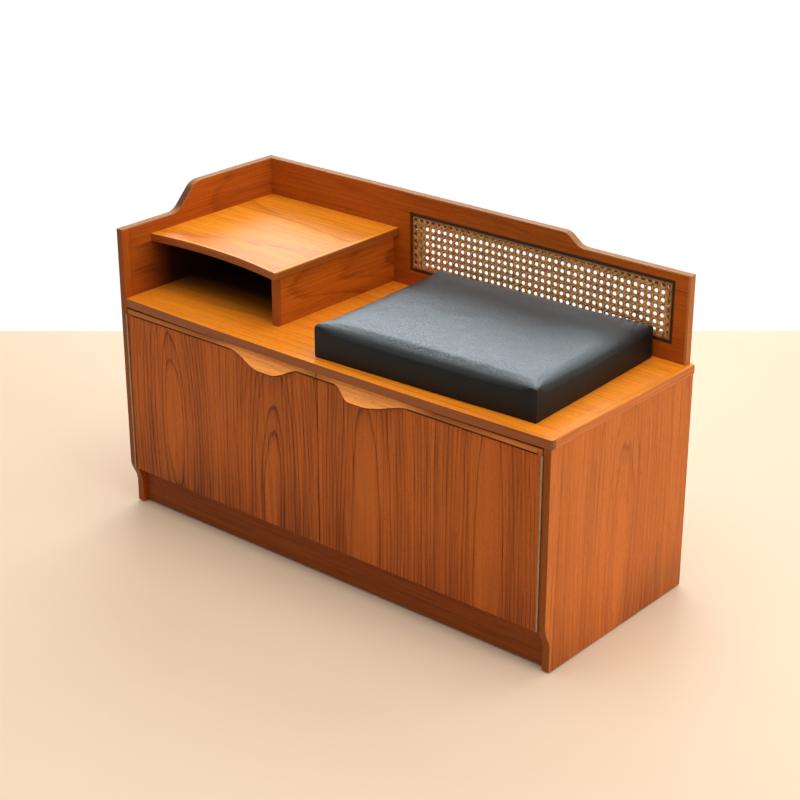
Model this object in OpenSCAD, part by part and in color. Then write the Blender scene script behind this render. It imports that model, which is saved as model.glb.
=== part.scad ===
// Telephone seat: a low two-door cabinet with a seat cushion at the right,
// a raised telephone shelf at the left and a caned backboard behind both.
// Millimetres. +X to the right, +Y to the back, +Z up.
// The origin is on the floor, below the centre of the bounding box.

/* [Overall] */
// Width over the left panel and the deck overhang
overall_w = 1072; // [1040:1:1110]
// Depth of the cabinet without the door handles
case_d = 442; // [430:1:460]
// Height of the seat deck above the floor
seat_h = 462; // [450:1:475]
// Height of the raised left panel and backboard
raised_h = 659; // [652:1:670]
// Height of the left panel's low front part
low_side_h = 605.5; // [600:0.5:612]
// Height of the backboard behind the cushion
low_back_h = 635; // [633:0.5:640]

/* [Boards] */
// Thickness of the panels, shelf and doors
board_t = 16; // [15:0.5:17]
// Thickness of the seat deck
deck_t = 18; // [17:0.5:20]
// Overhang of the deck past the right panel
deck_over = 2; // [1:0.5:4]
// Forward bow of the deck's front edge at mid length
deck_bow = 8; // [4:0.5:10]
// Depth of the solid front lipping on the side panels
edge_d = 22; // [20:1:26]
// Thickness of the edging along the shaped top edges
edging_t = 2; // [1.5:0.5:2.5]

/* [Base] */
// Top face of the cabinet floor
floor_top = 87; // [84:1:90]
// Height of the doors' lower edge
door_bottom = 86; // [83:1:89]
// Set-back of the plinth behind the doors
plinth_in = 27; // [24:1:32]
// Set-back of the shaped feet
foot_in = 15.7; // [14:0.1:17]
// Thickness of the floor glides
glide_t = 2.5; // [2:0.5:4]

/* [Doors] */
// Gap between the door tops and the deck
door_top_gap = 4; // [3.5:0.5:5]
// Gap between the two doors
door_gap = 2; // [1.5:0.5:3]
// Projection of the handle lip at its widest
lip_out = 24; // [23.5:0.1:24.5]
// Thickness of the sculpted handle lip
lip_t = 6; // [5:0.5:7]

/* [Telephone shelf] */
// Top face of the shelf
shelf_h = 580; // [574:1:586]
// Width of the shelf from the left panel
shelf_w = 356; // [345:1:366]
// Overhang of the shelf past its upright
shelf_over = 14; // [11:1:18]
// Set-back of the deepest point of the curved front
shelf_front = 86.7; // [80:0.1:95]
// Radius of the curved front
shelf_r = 970; // [900:10:1100]

/* [Cane panel] */
// Width of the opening in the backboard
cane_w = 630; // [620:1:640]
// Height of the opening in the backboard
cane_h = 126; // [124:1:128]
// Distance between neighbouring cane holes
cane_pitch = 15.1; // [14.9:0.1:15.2]
// Width across each eight-sided cane hole
cane_hole = 7; // [6:0.5:8]

/* [Cushion] */
// Length of the cushion
cushion_w = 495; // [480:1:500]
// Depth of the cushion
cushion_d = 382; // [370:1:384]
// Height of the cushion at its edges
cushion_h = 66; // [58:1:70]
// Turn of the loose cushion on the deck, in degrees
cushion_turn = 2.4; // [0:0.1:2.8]

/* [Hidden] */
x_left = -overall_w / 2;
x_end = overall_w / 2;
x_right = x_end - deck_over;
in_left = x_left + board_t;
in_right = x_right - board_t;
x_mid = (x_left + x_right) / 2;
front_y = lip_out - (case_d + lip_out) / 2;
deck_z = seat_h - deck_t;
floor_z = floor_top - board_t;
back_t = 5;
rebate_x = 8;
deck_edge = 10;
side_edge = 12;
shelf_edge = 10;
post_edge = 8;
board_end = 6;
door_top = deck_z - door_top_gap;
door_z = door_top - 8;
lip_s = lip_out / cos(46.3);
hinge_gap = 2.6;
knuckle_r = 1.9;
knuckle_n = 14;
hinge_z = door_bottom + 3;
hinge_len = door_z - 2 - hinge_z;
knuckle_p = hinge_len / knuckle_n;
leaf_d = 14;
door_w = (in_right - in_left) / 2 - door_gap / 2 - hinge_gap;
side_angle = 46;
side_r = 40;
side_step = 152;
back_angle = 38;
back_r = 30;
back_step = x_left + 817;
end_x = x_end - 10;
shelf_x = in_left + shelf_w;
post_x = shelf_x - shelf_over;
arc_x = x_left + 160;
cane_x = x_left + 715;
cane_z = 556.5;
stile_w = 22;
rail_h = [15, 19];
face_y = case_d - board_t;
cane_y = face_y + 2;
cane_t = 1.2;
cushion_x = x_left + 515.4;
cushion_y = 16.4;
cushion_crown = 4;
round_n = 96;

// ---- shared shapes ----

// Moves a shape drawn from the cabinet's front plane into place.
module from_front() {
  translate([0, front_y, 0]) children();
}

// Extrudes a depth-height outline along X, starting at x.
module along_x(x, len) {
  translate([x, 0, 0]) rotate([90, 0, 90]) linear_extrude(len) children();
}

// Extrudes a width-height outline along Y, starting at y.
module along_y(y, len) {
  translate([0, y + len, 0]) rotate([90, 0, 0]) linear_extrude(len) children();
}

// Extrudes a plan outline upwards, starting at z.
module along_z(z, len) {
  translate([0, 0, z]) linear_extrude(len) children();
}

// Area below a line that rises by h along a ramp with two rounded bends.
// The ramp meets the low line at x = 0. The line is lowered evenly by e.
module ramp_area(h, angle, r, before, after, depth, e = 0) {
  half = tan(angle / 2);
  x1 = e * half;
  x2 = x1 + h / tan(angle);
  ra = r + e;
  rb = r - e;
  ta = ra * half;
  tb = rb * half;
  a = [x1 - ta, -e];
  b = [x1 + ta * cos(angle), ta * sin(angle) - e];
  c = [x2 - tb * cos(angle), h - e - tb * sin(angle)];
  d = [x2 + tb, h - e];
  difference() {
    polygon([[-before, -depth], [-before, -e], a, b, c, d, [after, h - e], [after, -depth]]);
    translate([a[0], ra - e]) circle(ra, $fn = round_n);
  }
  intersection() {
    polygon([c, [x2, h - e], d, [d[0], h - e - rb]]);
    translate([d[0], h - e - rb]) circle(rb, $fn = round_n);
  }
}

// Material to cut from the upper right corner of a rectangle to round it.
module corner_cut(x, y, r) {
  difference() {
    translate([x - r, y - r]) square(r + 1);
    translate([x - r, y - r]) circle(r, $fn = round_n);
  }
}

// Depth-height outline of the left panel, lowered along its top by e.
module side_outline(e) {
  translate([side_step, low_side_h])
    ramp_area(raised_h - low_side_h, side_angle, side_r, side_step, case_d - side_step,
      low_side_h - glide_t, e);
}

// Cut that sets the foot back behind the front edge.
module foot_cut() {
  translate([0, 90]) rotate(-90) ramp_area(foot_in, 27, 50, 40, 100, 10);
}

// Width-height outline of the backboard, lowered along its top by e.
module back_outline(e) {
  translate([back_step, low_back_h]) mirror([1, 0])
    ramp_area(raised_h - low_back_h, back_angle, back_r, end_x - back_step,
      back_step - in_left, low_back_h - seat_h, e);
}

// Round peg along X, Y or Z that starts at p.
module peg(p, axis, len, d = 8) {
  turn = axis == "x" ? [0, 90, 0] : axis == "y" ? [-90, 0, 0] : [0, 0, 0];
  translate(p) rotate(turn) cylinder(d = d, h = len, $fn = round_n);
}

// Countersunk wood screw with its head face at the origin, driven along +Z.
module flat_screw(d, len, head) {
  cylinder(d = d, h = len, $fn = round_n);
  cylinder(d1 = head, d2 = d, h = (head - d) / 2, $fn = round_n);
}

// ---- dowels and pins, also used to drill the boards they join ----

module deck_dowel_set() {
  for (y = [50 : 115 : 395]) {
    peg([in_left - 10, y, seat_h - deck_t / 2], "x", 30);
    peg([x_right - board_t / 2, y, deck_z - 20], "z", 30);
  }
}

module bottom_dowel_set() {
  for (y = [60 : 110 : 390]) {
    peg([in_left - 10, y, floor_z + board_t / 2], "x", 30);
    peg([in_right - 20, y, floor_z + board_t / 2], "x", 30);
  }
}

module plinth_dowel_set() {
  for (y = [plinth_in + 8, case_d - 34], z = [26, 52]) {
    peg([in_left - 10, y, z], "x", 30);
    peg([in_right - 20, y, z], "x", 30);
  }
}

module backboard_dowel_set() {
  for (x = [-480 : 190 : 470])
    peg([x, face_y + board_t / 2, seat_h - 10], "z", 30);
  for (z = [510, 630])
    peg([in_left - 10, face_y + board_t / 2, z], "x", 30);
}

module shelf_dowel_set() {
  for (y = [140 : 115 : 370]) {
    peg([in_left - 10, y, shelf_h - board_t / 2], "x", 30);
    peg([post_x - board_t / 2, y, shelf_h - board_t - 20], "z", 30);
    peg([post_x - board_t / 2, y, seat_h - 10], "z", 30);
  }
  for (x = [in_left + 70, post_x - 100])
    peg([x, face_y - 20, shelf_h - board_t / 2], "y", 30);
}

module back_pin_set() {
  for (i = [0 : 6])
    peg([in_left + 60 + i * (in_right - in_left - 120) / 6, case_d - 20, floor_z + 8], "y", 20, 2);
  for (z = [150, 260, 370], x = [in_left - 4, in_right + 4])
    peg([x, case_d - 20, z], "y", 20, 2);
}

module glide_set() {
  for (x = [x_left + board_t / 2, x_right - board_t / 2], y = [142, 306]) {
    translate([x, y, 0]) cylinder(d = 15, h = glide_t, $fn = round_n);
    translate([x, y, 0]) cylinder(d = 2.6, h = glide_t + 16, $fn = round_n);
  }
}

module catch_screw_set() {
  for (s = [-1, 1], k = [-1, 1])
    translate([x_mid + s * 34 + k * 16, 25, deck_z - 9])
      flat_screw(3, 20, 6);
}

// Five hinge screws up one leaf, driven along +X from x = 0.
module hinge_screw_row() {
  for (i = [0 : 4])
    translate([0, 9.5, hinge_z + (i * 3 + 1) * knuckle_p])
      rotate([0, 90, 0]) flat_screw(2.8, 14, 4.8);
}

module left_frame_screw_set() {
  translate([in_left + 1, 0, 0]) mirror([1, 0, 0]) hinge_screw_row();
}

module right_frame_screw_set() {
  translate([in_right - 1, 0, 0]) hinge_screw_row();
}

module left_door_screw_set() {
  translate([in_left + hinge_gap - 1, 0, 0]) hinge_screw_row();
}

module right_door_screw_set() {
  translate([in_right - hinge_gap + 1, 0, 0]) mirror([1, 0, 0]) hinge_screw_row();
}

module plate_screw(s) {
  translate([x_mid + s * 34, board_t + 1.2, door_z - 4])
    rotate([90, 0, 0]) flat_screw(2.6, 12, 5);
}

// ---- side panels ----

module left_side_panel() {
  color("sienna") from_front() difference() {
    along_x(x_left, board_t) difference() {
      side_outline(edging_t);
      translate([-1, -1]) square([edge_d + 1, raised_h + 2]);
    }
    translate([in_left - rebate_x, case_d - back_t, floor_z])
      cube([rebate_x + 1, back_t + 1, deck_z - floor_z]);
    deck_dowel_set();
    bottom_dowel_set();
    plinth_dowel_set();
    backboard_dowel_set();
    shelf_dowel_set();
    back_pin_set();
    glide_set();
  }
}

module left_panel_front_lipping() {
  color("peru") from_front() difference() {
    along_x(x_left, board_t) difference() {
      translate([0, glide_t]) square([edge_d, low_side_h - edging_t - glide_t]);
      foot_cut();
    }
    left_frame_screw_set();
  }
}

module left_panel_top_edging() {
  color("burlywood") from_front() along_x(x_left, board_t) difference() {
    side_outline(0);
    side_outline(edging_t);
  }
}

module right_side_panel() {
  color("sienna") from_front() difference() {
    along_x(in_right, board_t)
      translate([edge_d, glide_t]) square([case_d - edge_d, deck_z - glide_t]);
    translate([in_right - 1, case_d - back_t, floor_z])
      cube([rebate_x + 1, back_t + 1, deck_z - floor_z]);
    deck_dowel_set();
    bottom_dowel_set();
    plinth_dowel_set();
    back_pin_set();
    glide_set();
  }
}

module right_panel_front_lipping() {
  color("peru") from_front() difference() {
    along_x(in_right, board_t) difference() {
      translate([0, glide_t]) square([edge_d, deck_z - glide_t]);
      foot_cut();
    }
    right_frame_screw_set();
  }
}

// ---- deck ----

// Plan of the deck's front lipping, bowed forwards at the middle.
module front_lipping_plan() {
  half = (x_end - in_left) / 2;
  steps = 40;
  difference() {
    polygon(concat([[x_end, deck_edge], [in_left, deck_edge]],
      [for (i = [-steps : steps]) [in_left + half + half * i / steps,
        deck_bow * (i / steps) * (i / steps) - deck_bow]]));
    mirror([0, 1]) corner_cut(x_end, 0, 4);
  }
}

module deck_board() {
  color("chocolate") from_front() difference() {
    translate([in_left, deck_edge, deck_z])
      cube([x_end - side_edge - in_left, case_d - deck_edge, deck_t]);
    deck_dowel_set();
    backboard_dowel_set();
    shelf_dowel_set();
    catch_screw_set();
  }
}

module deck_front_lipping() {
  color("saddlebrown") from_front() along_z(deck_z, deck_t) front_lipping_plan();
}

module deck_side_lipping() {
  color("peru") from_front() difference() {
    along_y(deck_edge, case_d - deck_edge) difference() {
      translate([x_end - side_edge, deck_z]) square([side_edge, deck_t]);
      corner_cut(x_end, seat_h, 5);
    }
    deck_dowel_set();
  }
}

module deck_dowels() {
  color("tan") from_front() deck_dowel_set();
}

// ---- base ----

module bottom_board() {
  color("sienna") from_front() difference() {
    translate([in_left, plinth_in + board_t, floor_z])
      cube([in_right - in_left, case_d - back_t - plinth_in - board_t, board_t]);
    bottom_dowel_set();
    back_pin_set();
  }
}

module bottom_board_dowels() {
  color("tan") from_front() bottom_dowel_set();
}

module plinth_front() {
  color("saddlebrown") from_front() difference() {
    translate([in_left, plinth_in, glide_t + 2])
      cube([in_right - in_left, board_t, floor_top - glide_t - 2]);
    plinth_dowel_set();
  }
}

module plinth_rear() {
  color("sienna") from_front() difference() {
    translate([in_left, case_d - 42, glide_t + 2])
      cube([in_right - in_left, board_t, floor_z - glide_t - 2]);
    plinth_dowel_set();
  }
}

module plinth_dowels() {
  color("tan") from_front() plinth_dowel_set();
}

module plinth_glue_blocks() {
  color("burlywood") from_front() for (i = [-3 : 2 : 3])
    translate([x_mid + i * 130 - 25, plinth_in + board_t, floor_z - 22])
      cube([50, 22, 22]);
}

// ---- back of the cabinet ----

module back_panel() {
  color("burlywood") from_front() difference() {
    translate([in_left - rebate_x, case_d - back_t, floor_z])
      cube([in_right - in_left + 2 * rebate_x, back_t, deck_z - floor_z]);
    back_pin_set();
  }
}

module back_panel_pins() {
  color("silver") from_front() back_pin_set();
}

// ---- raised backboard ----

module backboard() {
  color("sienna") from_front() difference() {
    along_y(face_y, board_t) difference() {
      back_outline(edging_t);
      translate([end_x - board_end, seat_h - 1]) square([board_end + 1, raised_h]);
      translate([cane_x - cane_w / 2, cane_z - cane_h / 2]) square([cane_w, cane_h]);
    }
    backboard_dowel_set();
    shelf_dowel_set();
  }
}

module backboard_top_edging() {
  color("burlywood") from_front() along_y(face_y, board_t) difference() {
    back_outline(0);
    back_outline(edging_t);
  }
}

module backboard_end_lipping() {
  color("peru") from_front() translate([end_x - board_end, face_y, seat_h])
    cube([board_end, board_t, low_back_h - edging_t - seat_h]);
}

module backboard_dowels() {
  color("tan") from_front() backboard_dowel_set();
}

// ---- cane panel ----

// Flat ring around the cane panel between two distances from the opening's edge.
module ring(a, b) {
  difference() {
    translate([cane_x - cane_w / 2 + a, cane_z - cane_h / 2 + a])
      square([cane_w - 2 * a, cane_h - 2 * a]);
    translate([cane_x - cane_w / 2 + b, cane_z - cane_h / 2 + b])
      square([cane_w - 2 * b, cane_h - 2 * b]);
  }
}

// Rebate that leaves a shadow gap round the cane, and the groove for the spline.
module frame_cuts() {
  along_y(cane_y - 3, 8) ring(-1, 7);
  along_y(cane_y - 3, 8) ring(8.2, 11.4);
}

module cane_frame_stiles() {
  color("peru") from_front() difference() {
    for (x = [cane_x - cane_w / 2, cane_x + cane_w / 2 - stile_w])
      translate([x, cane_y + cane_t, cane_z - cane_h / 2])
        cube([stile_w, case_d - cane_y - cane_t, cane_h]);
    frame_cuts();
  }
}

module cane_frame_rails() {
  color("peru") from_front() difference() {
    for (i = [0, 1])
      translate([cane_x - cane_w / 2 + stile_w, cane_y + cane_t,
          cane_z - cane_h / 2 + i * (cane_h - rail_h[1])])
        cube([cane_w - 2 * stile_w, case_d - cane_y - cane_t, rail_h[i]]);
    frame_cuts();
  }
}

module cane_webbing() {
  color("goldenrod") from_front() along_y(cane_y, cane_t) difference() {
    translate([cane_x - cane_w / 2 + 11.4, cane_z - cane_h / 2 + 11.4])
      square([cane_w - 22.8, cane_h - 22.8]);
    for (i = [-19 : 19], j = [-3 : 2])
      translate([cane_x + i * cane_pitch + 1.7, cane_z + (j + 0.5) * cane_pitch - 1.8])
        rotate(22.5) circle(d = cane_hole / cos(22.5), $fn = 8);
  }
}

module cane_spline() {
  color("wheat") from_front() {
    for (z = [-1, 1])
      translate([cane_x - cane_w / 2 + 8.2, cane_y - 0.4, cane_z - 1.6 + z * (cane_h / 2 - 9.8)])
        cube([cane_w - 16.4, 5, 3.2]);
    for (x = [-1, 1])
      translate([cane_x - 1.6 + x * (cane_w / 2 - 9.8), cane_y - 0.4, cane_z - cane_h / 2 + 11.4])
        cube([3.2, 5, cane_h - 22.8]);
  }
}

// ---- telephone shelf ----

// Plan of the space in front of the shelf's curved edge, grown backwards by e.
module shelf_arc(e) {
  translate([arc_x, shelf_front - shelf_r]) circle(shelf_r + e, $fn = 720);
}

module phone_shelf_board() {
  color("chocolate") from_front() difference() {
    along_z(shelf_h - board_t, board_t) difference() {
      translate([in_left, 40]) square([shelf_w - shelf_edge, face_y - 40]);
      shelf_arc(shelf_edge);
    }
    shelf_dowel_set();
  }
}

module phone_shelf_front_lipping() {
  color("saddlebrown") from_front() along_z(shelf_h - board_t, board_t) difference() {
    intersection() {
      translate([in_left, 40]) square([shelf_w - shelf_edge, 100]);
      shelf_arc(shelf_edge);
    }
    shelf_arc(0);
  }
}

module phone_shelf_side_lipping() {
  color("peru") from_front() intersection() {
    along_z(shelf_h - board_t, board_t) difference() {
      translate([shelf_x - shelf_edge, 40]) square([shelf_edge, face_y - 40]);
      shelf_arc(0);
    }
    along_y(0, case_d) difference() {
      translate([shelf_x - shelf_edge, shelf_h - board_t]) square([shelf_edge, board_t]);
      corner_cut(shelf_x, shelf_h, 4);
    }
  }
}

module phone_shelf_support() {
  color("sienna") from_front() difference() {
    translate([post_x - board_t, shelf_front - 2 + post_edge, seat_h])
      cube([board_t, face_y - shelf_front + 2 - post_edge, shelf_h - board_t - seat_h]);
    shelf_dowel_set();
  }
}

module phone_shelf_support_lipping() {
  color("peru") from_front() translate([post_x - board_t, shelf_front - 2, seat_h])
    cube([board_t, post_edge, shelf_h - board_t - seat_h]);
}

module phone_shelf_dowels() {
  color("tan") from_front() shelf_dowel_set();
}

// ---- glides and catches ----

module floor_glides() {
  color("dimgray") from_front() glide_set();
}

module door_catches() {
  color("saddlebrown") from_front() difference() {
    for (s = [-1, 1])
      translate([x_mid + s * 34 - 22, board_t + 1.5, deck_z - 9]) cube([44, 14, 9]);
    catch_screw_set();
  }
}

module catch_screws() {
  color("silver") from_front() catch_screw_set();
}

// ---- piano hinges ----

// One leaf of a piano hinge standing on z = 0, pin at x = y = 0.
// The plate lies on the +X side. first picks the even or the odd knuckles.
module hinge_leaf(first) {
  side = hinge_gap / 2;
  difference() {
    union() {
      translate([side - 1, knuckle_r + 0.4, 0]) cube([1, leaf_d, hinge_len]);
      for (i = [first : 2 : knuckle_n - 1]) {
        translate([0, 0, i * knuckle_p + 0.15])
          cylinder(r = knuckle_r, h = knuckle_p - 0.3, $fn = round_n);
        translate([side - 1, 0, i * knuckle_p + 0.15])
          cube([1, knuckle_r + 1, knuckle_p - 0.3]);
      }
    }
    translate([0, 0, -1]) cylinder(r = 1.05, h = hinge_len + 2, $fn = round_n);
  }
}

module left_hinge_frame_leaf() {
  color("darkkhaki") from_front() difference() {
    translate([in_left + hinge_gap / 2, -knuckle_r - 0.1, hinge_z]) mirror([1, 0, 0]) hinge_leaf(0);
    left_frame_screw_set();
  }
}

module right_hinge_frame_leaf() {
  color("darkkhaki") from_front() difference() {
    translate([in_right - hinge_gap / 2, -knuckle_r - 0.1, hinge_z]) hinge_leaf(0);
    right_frame_screw_set();
  }
}

module left_hinge_door_leaf() {
  color("darkkhaki") from_front() difference() {
    translate([in_left + hinge_gap / 2, -knuckle_r - 0.1, hinge_z]) hinge_leaf(1);
    left_door_screw_set();
  }
}

module right_hinge_door_leaf() {
  color("darkkhaki") from_front() difference() {
    translate([in_right - hinge_gap / 2, -knuckle_r - 0.1, hinge_z]) mirror([1, 0, 0]) hinge_leaf(1);
    right_door_screw_set();
  }
}

module hinge_pin(x) {
  color("silver") from_front() translate([x, -knuckle_r - 0.1, hinge_z])
    cylinder(r = 1, h = hinge_len, $fn = round_n);
}

module left_hinge_pin() {
  hinge_pin(in_left + hinge_gap / 2);
}

module right_hinge_pin() {
  hinge_pin(in_right - hinge_gap / 2);
}

module left_hinge_frame_screws() {
  color("gold") from_front() left_frame_screw_set();
}

module right_hinge_frame_screws() {
  color("gold") from_front() right_frame_screw_set();
}

module left_hinge_door_screws() {
  color("gold") from_front() left_door_screw_set();
}

module right_hinge_door_screws() {
  color("gold") from_front() right_door_screw_set();
}

// ---- doors ----

// Depth-height outline of the handle lip: a strip on the door's top edge
// and a plate that sweeps down and forwards in a hollow curve.
module lip_section() {
  translate([0, -8]) square([board_t, 8]);
  intersection() {
    translate([-lip_out - 10, -45]) square([lip_out + 10, 45]);
    difference() {
      translate([-40.4, 16.7]) circle(43.7 + lip_t, $fn = 360);
      translate([-40.4, 16.7]) circle(43.7, $fn = 360);
    }
  }
}

// Points along an arc about c, from angle a to angle b.
function bend(c, r, a, b, n) =
  [for (i = [0 : n]) c + r * [cos(a + (b - a) * i / n), sin(a + (b - a) * i / n)]];

// Outline of the lip looking square onto its slope, x from the meeting edge:
// a narrow strip that swells into the handle with a steep and a gentle flank.
module lip_outline() {
  rise = lip_s - 8;
  ra = 15;
  rb = 44;
  polygon(concat(
    [[0, -30], [0, 8]],
    bend([54 - ra * tan(25), 8 + ra], ra, -90, -40, 10),
    bend([54 + rise / tan(50) + ra * tan(25), 8 + rise - ra], ra, 140, 90, 10),
    bend([204 - rise / tan(30) - rb * tan(15), 8 + rise - rb], rb, 90, 60, 12),
    bend([204 + rb * tan(15), 8 + rb], rb, 240, 270, 12),
    [[door_w, 8], [door_w, -30]]));
}

// Lip for a door that runs from its meeting edge at x = 0 towards +X.
module lip_body() {
  intersection() {
    along_x(0, door_w) lip_section();
    rotate([226.3, 0, 0]) linear_extrude(140, center = true) lip_outline();
    union() {
      translate([-1, -lip_out, -50]) cube([door_w - 9, lip_out + board_t + 1, 60]);
      translate([-1, 0, -8]) cube([door_w + 2, board_t + 1, 9]);
    }
  }
}

module right_door_lip() {
  color("peru") from_front() translate([x_mid + door_gap / 2, 0, door_top]) lip_body();
}

module left_door_lip() {
  color("peru") from_front() translate([x_mid - door_gap / 2, 0, door_top])
    mirror([1, 0, 0]) lip_body();
}

module left_door_panel() {
  color("brown") from_front() difference() {
    translate([x_mid - door_gap / 2 - door_w, 0, door_bottom])
      cube([door_w, board_t, door_z - door_bottom]);
    left_door_screw_set();
    plate_screw(-1);
  }
}

module right_door_panel() {
  color("brown") from_front() difference() {
    translate([x_mid + door_gap / 2, 0, door_bottom])
      cube([door_w, board_t, door_z - door_bottom]);
    right_door_screw_set();
    plate_screw(1);
  }
}

module catch_plate(s) {
  color("silver") from_front() difference() {
    translate([x_mid + s * 34 - 17, board_t, door_z - 8]) cube([34, 1.2, 15]);
    plate_screw(s);
  }
}

module left_catch_plate() {
  catch_plate(-1);
}

module right_catch_plate() {
  catch_plate(1);
}

module left_catch_plate_screw() {
  color("gold") from_front() plate_screw(-1);
}

module right_catch_plate_screw() {
  color("gold") from_front() plate_screw(1);
}

// ---- cushion ----

// Rectangle with rounded upper corners and a slightly crowned top.
module crowned(w, h, c, r) {
  big = (w * w / 4 + c * c) / (2 * c);
  difference() {
    intersection() {
      square([w, h + c]);
      translate([w / 2, h + c - big]) circle(big, $fn = 720);
    }
    corner_cut(w, h + 1, r);
    translate([w, 0]) mirror([1, 0]) corner_cut(w, h + 1, r);
  }
}

module cushion_place() {
  from_front() translate([cushion_x, cushion_y, seat_h + 0.3]) rotate(cushion_turn) children();
}

module cushion_pad() {
  color("black") cushion_place() difference() {
    intersection() {
      along_y(0, cushion_d) crowned(cushion_w, cushion_h, cushion_crown, 12);
      along_x(0, cushion_w) crowned(cushion_d, cushion_h, cushion_crown, 12);
    }
    translate([30, 30, -1]) cube([cushion_w - 60, cushion_d - 60, 7]);
  }
}

module cushion_board() {
  color("burlywood") cushion_place()
    translate([30, 30, 0]) cube([cushion_w - 60, cushion_d - 60, 6]);
}

left_side_panel();
left_panel_front_lipping();
left_panel_top_edging();
right_side_panel();
right_panel_front_lipping();
deck_board();
deck_front_lipping();
deck_side_lipping();
deck_dowels();
bottom_board();
bottom_board_dowels();
plinth_front();
plinth_rear();
plinth_dowels();
plinth_glue_blocks();
back_panel();
back_panel_pins();
backboard();
backboard_top_edging();
backboard_end_lipping();
backboard_dowels();
cane_frame_stiles();
cane_frame_rails();
cane_webbing();
cane_spline();
phone_shelf_board();
phone_shelf_front_lipping();
phone_shelf_side_lipping();
phone_shelf_support();
phone_shelf_support_lipping();
phone_shelf_dowels();
floor_glides();
door_catches();
catch_screws();
left_hinge_frame_leaf();
left_hinge_frame_screws();
right_hinge_frame_leaf();
right_hinge_frame_screws();
left_door_panel();
left_door_lip();
left_hinge_door_leaf();
left_hinge_door_screws();
left_hinge_pin();
left_catch_plate();
left_catch_plate_screw();
right_door_panel();
right_door_lip();
right_hinge_door_leaf();
right_hinge_door_screws();
right_hinge_pin();
right_catch_plate();
right_catch_plate_screw();
cushion_pad();
cushion_board();
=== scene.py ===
import math

import bmesh
import bpy
import numpy as np
from mathutils import Matrix, Vector, noise
from mathutils.bvhtree import BVHTree


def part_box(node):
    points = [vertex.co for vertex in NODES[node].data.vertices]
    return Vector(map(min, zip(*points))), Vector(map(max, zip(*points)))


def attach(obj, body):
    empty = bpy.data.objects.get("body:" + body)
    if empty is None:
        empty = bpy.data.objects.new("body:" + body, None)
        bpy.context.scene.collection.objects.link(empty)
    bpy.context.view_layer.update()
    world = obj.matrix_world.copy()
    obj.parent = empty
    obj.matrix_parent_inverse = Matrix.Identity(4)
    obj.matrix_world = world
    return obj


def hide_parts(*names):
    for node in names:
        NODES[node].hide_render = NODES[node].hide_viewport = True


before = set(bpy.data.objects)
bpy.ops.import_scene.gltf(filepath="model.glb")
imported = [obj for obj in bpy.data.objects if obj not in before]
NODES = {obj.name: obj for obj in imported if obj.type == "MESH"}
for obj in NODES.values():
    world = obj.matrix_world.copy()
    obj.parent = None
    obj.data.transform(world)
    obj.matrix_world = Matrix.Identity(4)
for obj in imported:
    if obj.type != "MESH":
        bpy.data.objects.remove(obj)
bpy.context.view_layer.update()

scene = bpy.context.scene


# ---------------------------------------------------------------- node graphs

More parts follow.
